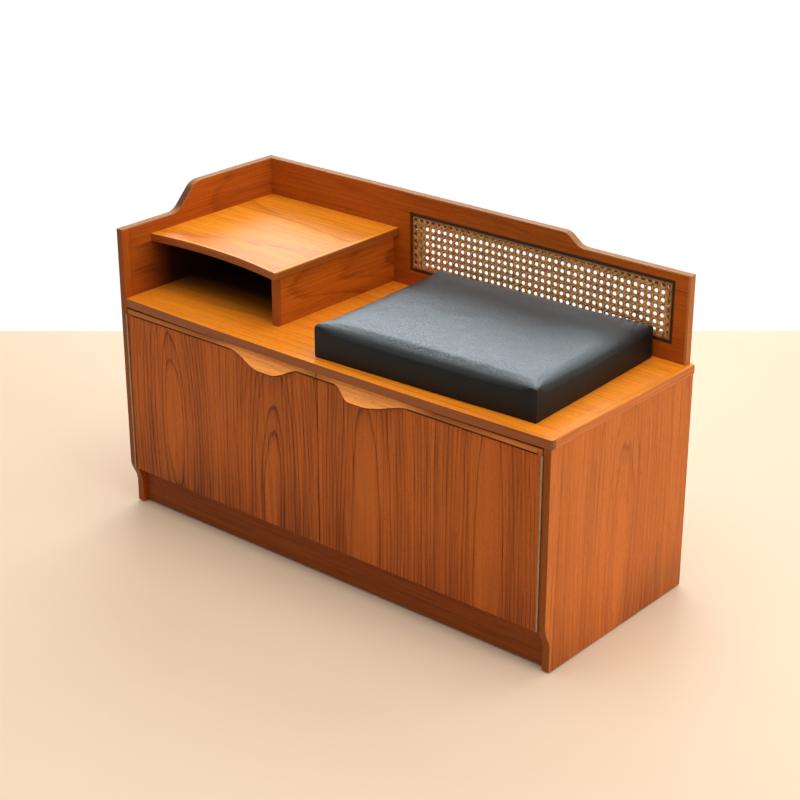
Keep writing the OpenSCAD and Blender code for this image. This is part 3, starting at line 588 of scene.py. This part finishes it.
def door_lip(node, door, body):
    low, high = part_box(node)
    side = 1 if door == "right" else -1
    x0 = low.x if side > 0 else high.x
    width = (high.x - low.x) * 1000
    y0, z0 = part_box(door + "_door_panel")[0].y, high.z
    stations = [0.0, 0.8] + [2.0 + 1.5 * i for i in range(int((width - 12) / 1.5))]
    stations += [width - PLAIN_END - 0.5, width - PLAIN_END]
    sections = [lip_section(lip_reach(t)) for t in stations]
    verts, faces = [], []
    for t, section in zip(stations, sections):
        for y, z in section:
            eased = 0.3 if t < 0.5 and y < 0 else 0.0
            verts.append((x0 + side * t / 1000, y0 + (y + eased) / 1000, z0 + z / 1000))
    n = len(sections[0])
    for i in range(len(stations) - 1):
        for k in range(n):
            a, b = i * n + k, i * n + (k + 1) % n
            faces.append((a, b, b + n, a + n))
    last = (len(stations) - 1) * n
    faces += [tuple(range(n)), tuple(range(last, last + n))]
    # painted shade: the lip's plain strip away from the scoop is dark
    scoop = wood(
        "teak_" + door + "_lip", "x", "y", LIP_L, LIP_D, ring=0.006, slope=0.03, depth=0.03, figure=0.25,
        streaks=0.35, bands=0.3, seed=14.0, sheen=0.40, gloss=0.22, fade=(x0 + side * 0.128, 0.150))
    o = new_mesh(door + "_handle_lip", verts, faces, scoop)

    strip = LIP_TOP + [(0.7, 0.0), (0.0, -0.7), (0.0, -8.0)]
    strip_verts, strip_faces = tube(
        [width - PLAIN_END, width],
        lambda i, t: [(x0 + side * t / 1000, y0 + y / 1000, z0 + z / 1000) for y, z in strip])
    bm = bmesh.new()
    bm.from_mesh(o.data)
    made = [bm.verts.new(v) for v in strip_verts]
    for f in strip_faces:
        bm.faces.new([made[i] for i in f])
    bmesh.ops.recalc_face_normals(bm, faces=bm.faces)
    for e in bm.edges:
        if len(e.link_faces) == 2 and e.calc_face_angle(0) > math.radians(38):
            e.smooth = False
    bm.to_mesh(o.data)
    bm.free()

    # the rim and the underside take a darker wood: painted shade
    o.data.materials.append(mat["lip_rim"])
    for p in o.data.polygons:
        y, z = (p.center.y - y0) * 1000, (p.center.z - z0) * 1000
        if y < -0.05 and math.hypot(y - AXIS_Y, z - AXIS_Z) > HOLLOW_R + 0.3:
            p.material_index = 1
    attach(o, body)
    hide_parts(node)


door_lip("left_door_lip", "left", "left_door")
door_lip("right_door_lip", "right", "right_door")


# ------------------------------------------------------------- woven cane

# all in millimetres
CANE_PITCH = 15.1
STRAND, DIAGONAL = 3.9, 3.3  # widths of the paired straight strands and of the diagonal ones
PAIR = 1.95  # from the middle of a pair to each of its strands
STRAND_SECTION = [(-0.5, 0.0), (-0.32, -0.30), (0.0, -0.40), (0.32, -0.30), (0.5, 0.0), (0.0, 0.16)]


def woven_cane():
    """The cane, strand by strand: pairs across and up, and a diagonal each way between them."""
    low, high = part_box("cane_webbing")
    cx, cz = (low.x + high.x) / 2 * 1000, (low.z + high.z) / 2 * 1000
    y_mid = (low.y + high.y) / 2 * 1000
    half_w, half_h = (high.x - low.x) * 500 + 1.5, (high.z - low.z) * 500 + 1.5
    p = CANE_PITCH
    off_x, off_z = 1.7, -1.8  # where the weave lies in the opening
    verts, faces = [], []

    def arch(x):
        """The sheet was pulled in with its rows slightly bowed."""
        return 4.8 * (1 - (x / half_w) ** 2) - 2.4

    def wave(x):
        return 2 * math.pi * (x - off_x - p / 2) / p

    def strand(path, width):
        """path: points (x, y, z) in mm relative to the panel's centre; a half-round ribbon."""
        pts = [Vector(q) for q in path if abs(q[0]) <= half_w and abs(q[2]) <= half_h]
        if len(pts) < 4:
            return
        base = len(verts)
        n = len(STRAND_SECTION)
        for i, q in enumerate(pts):
            t = (pts[min(i + 1, len(pts) - 1)] - pts[max(i - 1, 0)]).normalized()
            side_dir = t.cross(Vector((0, 1, 0))).normalized()
            out_dir = side_dir.cross(t).normalized()
            if out_dir.y < 0:
                out_dir = -out_dir
            for a, b in STRAND_SECTION:
                v = q + side_dir * (a * width) + out_dir * (b * 1.5)
                verts.append(((v.x + cx) / 1000, (v.y + y_mid) / 1000, (v.z + cz) / 1000))
        for i in range(len(pts) - 1):
            for k in range(n):
                a, b = base + i * n + k, base + i * n + (k + 1) % n
                faces.append((a, b, b + n, a + n))
        faces.append(tuple(base + k for k in range(n))[::-1])
        faces.append(tuple(base + (len(pts) - 1) * n + k for k in range(n)))

    # over and under: how far the straight and the diagonal strands swing out of the sheet
    swing, lift, step = 0.36 / 0.77, 0.62, 1.9
    for i in range(-22, 23):
        for s in (-1, 1):
            x = off_x + (i + 0.5) * p + s * PAIR
            if abs(x) <= half_w:
                z0 = off_z + arch(x)
                strand([(x, -s * swing * math.sin(2 * math.pi * (z - z0) / p), z)
                        for z in np.arange(-half_h, half_h + 0.01, step)], STRAND)
    for j in range(-5, 6):
        for s in (-1, 1):
            z0 = off_z + j * p + s * PAIR
            strand([(x, s * swing * math.sin(wave(x)), z0 + arch(x))
                    for x in np.arange(-half_w, half_w + 0.01, step)], STRAND)
    for d in (-1, 1):
        for k in range(-30, 31):
            strand([(x, d * lift * math.cos(wave(x)), d * (x - off_x) + k * p + off_z + arch(x))
                    for x in np.arange(-half_w, half_w + 0.01, step * 0.75)], DIAGONAL)
    o = new_mesh("woven_cane", verts, faces, mat["cane"])
    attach(o, "cabinet")
    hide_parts("cane_webbing")


woven_cane()


# ---------------------------------------------------------------- the cushion

CUSHION_TURN = math.radians(2.4)
ROLL_CORNER, ROLL_SIDE, ROLL_FRONT = 0.006, 0.014, 0.008  # radii of the top edges
PLAY = 0.0008  # the cover starts this far inside the CAD solid
CROWN = 0.003  # and this far below its top
SWELL_CAP = 0.0028
EVEN_AT = 0.2  # how far in from an edge its roll no longer shifts the grid
BOARD_IN, BOARD_RECESS = 0.030, 0.0063  # the cushion's own board: distance from the edges, and depth


def cushion_frame():
    """The cushion's centre, width, depth and height, from the CAD solid."""
    low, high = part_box("cushion_pad")
    c, s = math.cos(CUSHION_TURN), math.sin(CUSHION_TURN)
    bx, by = high.x - low.x, high.y - low.y
    w = (bx * c - by * s) / (c * c - s * s)
    d = (by * c - bx * s) / (c * c - s * s)
    centre = Vector(((low.x + high.x) / 2, (low.y + high.y) / 2, low.z))
    return centre, w, d, high.z - low.z


def lattice(hw, hd, h):
    """A block with boxed corners whose top edges are rolled over, as an even grid of faces."""
    edge = [0.0, 0.0018, 0.0038, 0.0062, 0.0092, 0.0130]

    def spread(half):
        n = round((half - edge[-1]) / 0.0085)
        side = edge + [edge[-1] + (half - edge[-1]) * i / n for i in range(1, n + 1)]
        return [-half + d for d in side] + [half - d for d in side[-2::-1]]

    xs, ys = spread(hw), spread(hd)
    low = [0.0, 0.0035]
    n = round((h - edge[-1] - low[-1]) / 0.0085)
    zs = low + [low[-1] + (h - edge[-1] - low[-1]) * i / n for i in range(1, n)]
    zs += [h - d for d in edge[::-1]]
    index, verts, faces = {}, [], []

    def vert(i, j, k):
        if (i, j, k) not in index:
            index[i, j, k] = len(verts)
            verts.append(rolled(xs[i], ys[j], zs[k]))
        return index[i, j, k]

    def rolled(x, y, z):
        ax, ay, b = hw - abs(x), hd - abs(y), h - z
        on_top = b < 1e-9
        drop = [0.0, 0.0]
        moved = [ax, ay]
        for m, (d, other) in enumerate(((ax, ay), (ay, ax))):
            r = ROLL_CORNER + ((ROLL_SIDE, ROLL_FRONT)[m] - ROLL_CORNER) * smoothstep(other / 0.045)
            arc = r * math.pi / 4
            hold = 1.0 if on_top or d < 1e-9 else max(0.0, 1 - b / arc)
            run = d if d > 1e-9 or on_top else -b
            if d < 1e-9 and on_top:
                run = 0.0
            phi = max(0.0, min(math.pi / 2, (run / arc + 1) * math.pi / 4))
            if run < arc:
                curved = r * (1 - math.cos(phi))
            else:
                curved = r + (d - arc) * (1 - r / EVEN_AT) / (1 - arc / EVEN_AT)
            moved[m] = d + (curved - d) * hold
            drop[m] = r * (1 - math.sin(phi)) * hold
        biggest = max(drop[0], drop[1], 1e-9)
        down = drop[0] + drop[1] - drop[0] * drop[1] / max(ROLL_CORNER, biggest)
        if not on_top:
            reach = ROLL_CORNER * math.pi / 4
            down += (h - down) * max(0.0, (b - reach) / (h - reach))
        return (math.copysign(hw - moved[0], x), math.copysign(hd - moved[1], y), h - down)

    nx, ny, nz = len(xs) - 1, len(ys) - 1, len(zs) - 1
    for i in range(nx):
        for j in range(ny):
            faces.append([vert(i, j, nz), vert(i + 1, j, nz), vert(i + 1, j + 1, nz), vert(i, j + 1, nz)])
            faces.append([vert(i, j, 0), vert(i, j + 1, 0), vert(i + 1, j + 1, 0), vert(i + 1, j, 0)])
    for k in range(nz):
        for i in range(nx):
            faces.append([vert(i, 0, k), vert(i + 1, 0, k), vert(i + 1, 0, k + 1), vert(i, 0, k + 1)])
            faces.append([vert(i + 1, ny, k), vert(i, ny, k), vert(i, ny, k + 1), vert(i + 1, ny, k + 1)])
        for j in range(ny):
            faces.append([vert(0, j + 1, k), vert(0, j, k), vert(0, j, k + 1), vert(0, j + 1, k + 1)])
            faces.append([vert(nx, j, k), vert(nx, j + 1, k), vert(nx, j + 1, k + 1), vert(nx, j, k + 1)])
    return verts, faces


def cushion():
    centre, w, d, h = cushion_frame()
    edge_h = h - CROWN
    place = Matrix.Translation(centre) @ Matrix.Rotation(CUSHION_TURN, 4, "Z")
    hw, hd = w / 2 - PLAY, d / 2 - PLAY
    verts, faces = lattice(hw, hd, edge_h)
    o = new_mesh("cushion_vinyl_pad", verts, faces, vinyls[0])
    me = o.data
    co = np.array(verts, float)
    # the foam is fuller in the middle and falls away softly towards the two ends
    share = np.clip((co[:, 2] - 0.5 * edge_h) / (0.5 * edge_h), 0, 1)
    fx = 1 - np.clip(np.abs(co[:, 0]) / hw, 0, 1) ** 5
    fy = 1 - np.clip(np.abs(co[:, 1]) / hd, 0, 1) ** 9
    co[:, 2] += share * (0.0042 * fx * fy - 0.0012)
    me.vertices.foreach_set("co", co.astype(np.float32).ravel())
    me.update()
    inflate(o, me, co)
    shape_cushion(o, hw, hd, edge_h)
    sub = o.modifiers.new("Smooth", "SUBSURF")
    sub.levels = sub.render_levels = 2
    dg = bpy.context.evaluated_depsgraph_get()
    final = bpy.data.meshes.new_from_object(o.evaluated_get(dg))
    o.modifiers.clear()
    old = o.data
    o.data = final
    bpy.data.meshes.remove(old)
    o.data.transform(place)
    o.data.shade_smooth()
    sheen_by_slope(o.data)
    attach(o, "cushion")
    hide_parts("cushion_pad")
    corner_seams(o, place, hw, hd, edge_h)


def sheen_by_slope(me):
    """Gives each face the leathercloth for its slope: a painted sheen, from the sides up to the glossiest
    top.
    """
    for material in vinyls[1:]:
        me.materials.append(material)
    normals = np.empty(len(me.polygons) * 3, np.float32)
    me.polygons.foreach_get("normal", normals)
    # painted sheen: the more a face looks up, the glossier its copy
    sheen_share = np.clip((normals[2::3] - 0.15) / 0.60, 0, 1)
    me.polygons.foreach_set("material_index", np.rint(sheen_share * VINYL_STEPS).astype(np.int32))


def inflate(o, me, rest):
    """A short cloth simulation swells the cover, held on its base and along its corner seams."""
    hold = o.vertex_groups.new(name="hold")
    hx, hy = np.abs(rest[:, 0]).max(), np.abs(rest[:, 1]).max()
    corner = (hx - np.abs(rest[:, 0]) < 0.006) & (hy - np.abs(rest[:, 1]) < 0.006)
    held = np.where((rest[:, 2] < 0.001) | corner)[0]
    hold.add([int(i) for i in held], 1.0, "REPLACE")
    cloth = o.modifiers.new("Cloth", "CLOTH")
    s = cloth.settings
    s.quality = 5
    s.mass = 0.3
    s.tension_stiffness = s.compression_stiffness = 25
    s.shear_stiffness = 10
    s.bending_stiffness = 2
    s.use_pressure = True
    s.uniform_pressure_force = 4.0
    s.effector_weights.gravity = 0
    s.vertex_group_mass = "hold"
    cloth.point_cache.frame_start, cloth.point_cache.frame_end = 1, 20
    for f in range(1, 21):
        scene.frame_set(f)
        dg = bpy.context.evaluated_depsgraph_get()
        swollen = o.evaluated_get(dg)
        swollen.data.update()
    co = np.array([v.co for v in swollen.data.vertices], float).reshape(-1, 3)
    o.modifiers.remove(cloth)
    o.vertex_groups.clear()
    scene.frame_set(1)
    move = co - rest
    length = np.linalg.norm(move, axis=1)
    soft = SWELL_CAP * np.tanh(length / SWELL_CAP)
    move *= (soft / np.maximum(length, 1e-9))[:, None]
    me.vertices.foreach_set("co", (rest + move).astype(np.float32).ravel())
    me.update()


def shape_cushion(o, hw, hd, edge_h):
    """Foam wear, gathered corners, the folds along the front and back, and the base."""
    me = o.data
    limit_x, limit_y = hw + 0.003, hd + 0.003
    for v in me.vertices:
        x, y, z = v.co
        k = Vector((x * 14, y * 14, z * 14))
        soft = noise.noise(k) * 0.0009 + noise.noise(k * 2.7 + Vector((9, 2, 5))) * 0.00045
        n = v.normal.copy()
        up = smoothstep((z - 0.3 * edge_h) / (0.5 * edge_h))
        p = Vector((x, y, z)) + n * soft * (0.35 + 0.65 * up)
        # small gathers that fan out of each top corner
        dx, dy = hw - abs(x), hd - abs(y)
        reach = math.hypot(dx, dy)
        if reach < 0.055 and z > 0.5 * edge_h:
            a = math.atan2(dy, dx)
            fade = (1 - reach / 0.055) ** 1.5 * smoothstep(reach / 0.008)
            p += n * (0.0006 * math.sin(a * 16 + 1.3 * noise.noise(k)) * fade)
        # the cover has stretched and lies in a long soft fold just inside the front and back edges
        wander = 0.0165 + 0.004 * noise.noise(Vector((x * 11, 3.0, math.copysign(2.0, y))))
        fold = math.exp(-((dy - wander) / 0.0034) ** 2)
        fold *= 0.55 + 0.45 * noise.noise(Vector((x * 9, 3, y * 2)))
        lip = math.exp(-((dy - wander - 0.006) / 0.004) ** 2)
        p.z += (0.0005 * lip - 0.0007 * fold) * up * smoothstep(dx / 0.03)
        p.x = max(-limit_x, min(limit_x, p.x))
        p.y = max(-limit_y, min(limit_y, p.y))
        # the base: flat where it rests, hollow where its board sits
        if z < 0.001:
            inside = min(hw + PLAY - BOARD_IN - abs(x), hd + PLAY - BOARD_IN - abs(y))
            p.z = 0.0 if inside < -0.002 else BOARD_RECESS * smoothstep((inside + 0.002) / 0.002)
        else:
            p.z = max(p.z, 0.0)
        v.co = p
    me.update()


def corner_seams(pad, place, hw, hd, edge_h):
    """The sewn joint down each vertical corner: a rolled edge with a row of stitches each side."""
    bm = bmesh.new()
    bm.from_mesh(pad.data)
    tree = BVHTree.FromBMesh(bm)
    bm.free()
    verts, faces, stitch_verts, stitch_faces = [], [], [], []
    for sx in (-1, 1):
        for sy in (-1, 1):
            inward = (place.to_3x3() @ Vector((-sx, -sy, 0))).normalized()
            across = inward.cross(Vector((0, 0, 1))).normalized()
            line = []
            for i in range(34):
                z = 0.0015 + (edge_h - 0.0055) * i / 33
                start = place @ Vector((sx * (hw + 0.03), sy * (hd + 0.03), z))
                hit = tree.ray_cast(start, inward)[0]
                if hit is not None:
                    line.append(hit)
            if len(line) < 6:
                continue
            base = len(verts)
            m = 8  # sides of the roll
            for i, q in enumerate(line):
                end = min(i, len(line) - 1 - i)
                r = 0.00115 * min(1.0, 0.4 + end * 0.3)
                for k in range(m):
                    a = 2 * math.pi * k / m
                    v = q + inward * (0.0002 - r * 0.9 * math.cos(a)) + across * (r * 1.15 * math.sin(a))
                    verts.append(v)
            for i in range(len(line) - 1):
                for k in range(m):
                    a, b = base + i * m + k, base + i * m + (k + 1) % m
                    faces.append((a, b, b + m, a + m))
            faces.append(tuple(base + k for k in range(m)))
            faces.append(tuple(base + (len(line) - 1) * m + k for k in range(m)))
            for flank in (-1, 1):
                z = 0.004
                while z < edge_h - 0.006:
                    ends = []
                    for dz in (0.0, 0.0026):
                        lateral = across * (flank * 0.0034)
                        start = place @ Vector((sx * (hw + 0.03), sy * (hd + 0.03), z + dz)) + lateral
                        hit = tree.ray_cast(start, inward)[0]
                        if hit is not None:
                            ends.append(hit)
                    if len(ends) == 2:
                        stitch(stitch_verts, stitch_faces, ends[0], ends[1], inward, across)
                    z += 0.0042
    seam = new_mesh("cushion_corner_seams", verts, faces, vinyls[0])
    fix_normals(seam)
    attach(seam, "cushion")
    thread = new_mesh("cushion_seam_stitches", stitch_verts, stitch_faces, mat["thread"])
    fix_normals(thread)
    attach(thread, "cushion")


def stitch(verts, faces, a, b, inward, across):
    """One plump stitch from a to b."""
    base = len(verts)
    m = 6  # sides of the thread
    for s, r in ((0.0, 0.35), (0.15, 0.9), (0.5, 1.1), (0.85, 0.9), (1.0, 0.35)):
        q = a.lerp(b, s) - inward * (0.0001 + 0.00012 * math.sin(math.pi * s))
        for k in range(m):
            t = 2 * math.pi * k / m
            verts.append(q + (-inward * math.cos(t) + across * math.sin(t)) * (0.00034 * r))
    for i in range(4):
        for k in range(m):
            p, n = base + i * m + k, base + i * m + (k + 1) % m
            faces.append((p, n, n + m, p + m))
    faces.append(tuple(base + k for k in range(m)))
    faces.append(tuple(base + 4 * m + k for k in range(m)))


def fix_normals(o):
    bm = bmesh.new()
    bm.from_mesh(o.data)
    bmesh.ops.recalc_face_normals(bm, faces=bm.faces)
    bm.to_mesh(o.data)
    bm.free()


cushion()


# ----------------------------------------------------------------- the studio

def camera():
    """Makes the camera, and returns it with the level direction that it looks in."""
    cam = bpy.data.cameras.new("camera")
    cam.lens, cam.sensor_width = 84.65, 36.0
    cam.clip_start, cam.clip_end = 0.05, 80.0
    o = bpy.data.objects.new("camera", cam)
    scene.collection.objects.link(o)
    a, e = math.radians(40.35), math.radians(23.51)
    back = Vector((math.sin(a) * math.cos(e), -math.cos(a) * math.cos(e), math.sin(e)))
    o.rotation_mode = "QUATERNION"
    o.location = (2.1908, -2.5512, 1.7800)
    o.rotation_quaternion = (-back).to_track_quat("-Z", "Y")
    scene.camera = o
    return o, Vector((-math.sin(a), math.cos(a), 0))


cam, away = camera()

FLOOR_END = 4.54  # level distance from the camera to the floor's far edge
COOL = (0.86, 0.94, 1.0)
# name, place, aim, size, power and colour of each light
SOFTBOXES = [
    ("overhead", (0.2, -0.4, 3.4), (0, 0, 0.4), (2.6, 2.6), 49, (1.0, 0.985, 0.96)),
    ("right_window", (3.4, -0.3, 2.1), (0.2, 0, 0.3), (2.0, 1.6), 38, (1.0, 0.98, 0.95)),
    ("behind", away * 2.6 + Vector((0.15, 0, 1.80)), (0.1, 0, 0.5), (2.4, 1.2), 40, COOL),
    ("behind_high", (0.35, 2.1, 2.6), (0.2, 0, 0.5), (3.4, 1.3), 25, COOL),
]


def softbox(name, place, aim, size, power, colour):
    light = bpy.data.lights.new(name, "AREA")
    light.shape, light.size, light.size_y = "RECTANGLE", size[0], size[1]
    light.energy, light.color = power, colour
    o = bpy.data.objects.new(name, light)
    scene.collection.objects.link(o)
    o.location = place
    o.rotation_mode = "QUATERNION"
    o.rotation_quaternion = (Vector(aim) - Vector(place)).to_track_quat("-Z", "Y")
    o.visible_camera = False


def pale_floor():
    """A pale floor that ends where a white studio wall would begin."""
    across = Vector((away.y, -away.x, 0))
    far = Vector((cam.location.x, cam.location.y, 0)) + away * FLOOR_END
    g = Graph("pale_floor")
    soft = g.noise(g.coords, 1.6, 3.0, 0.55)
    fine = g.noise(g.coords, 60.0, 3.0, 0.6)
    share = g.math("ADD", g.math("MULTIPLY", soft, 0.8), g.math("MULTIPLY", fine, 0.2), clamp=True)
    colour = g.mix(share, (0.775, 0.585, 0.41), (0.835, 0.645, 0.465))
    material = g.finish(colour, 0.55, Specular_IOR_Level=0.12)
    near = far - away * 18
    verts = [far + across * 14, far - across * 14, near - across * 14, near + across * 14]
    floor = new_mesh("floor", verts, [(0, 1, 2, 3)], material, smooth=False)
    if floor.data.polygons[0].normal.z < 0:
        floor.data.flip_normals()


def studio_walls():
    """A world that is white at and below the horizon, as the wall is, and grey above it."""
    world = bpy.data.worlds.new("studio")
    scene.world = world
    world.use_nodes = True
    tree = world.node_tree
    tree.nodes.clear()
    out = tree.nodes.new("ShaderNodeOutputWorld")
    bg = tree.nodes.new("ShaderNodeBackground")
    co = tree.nodes.new("ShaderNodeTexCoord")
    sep = tree.nodes.new("ShaderNodeSeparateXYZ")
    ramp = tree.nodes.new("ShaderNodeValToRGB")
    ramp.color_ramp.elements[0].position = 0.49
    ramp.color_ramp.elements[0].color = (1.05, 1.05, 1.05, 1)
    ramp.color_ramp.elements[1].position = 0.52
    ramp.color_ramp.elements[1].color = (0.60, 0.60, 0.61, 1)
    half = tree.nodes.new("ShaderNodeMath")
    half.operation = "MULTIPLY_ADD"
    half.inputs[1].default_value, half.inputs[2].default_value = 0.5, 0.5
    tree.links.new(co.outputs["Generated"], sep.inputs[0])
    tree.links.new(sep.outputs[2], half.inputs[0])
    tree.links.new(half.outputs[0], ramp.inputs[0])
    tree.links.new(ramp.outputs[0], bg.inputs[0])
    tree.links.new(bg.outputs[0], out.inputs[0])
    bg.inputs[1].default_value = 1.0


pale_floor()
studio_walls()
for box in SOFTBOXES:
    softbox(*box)
scene.view_settings.view_transform = "Standard"
scene.view_settings.look = "None"
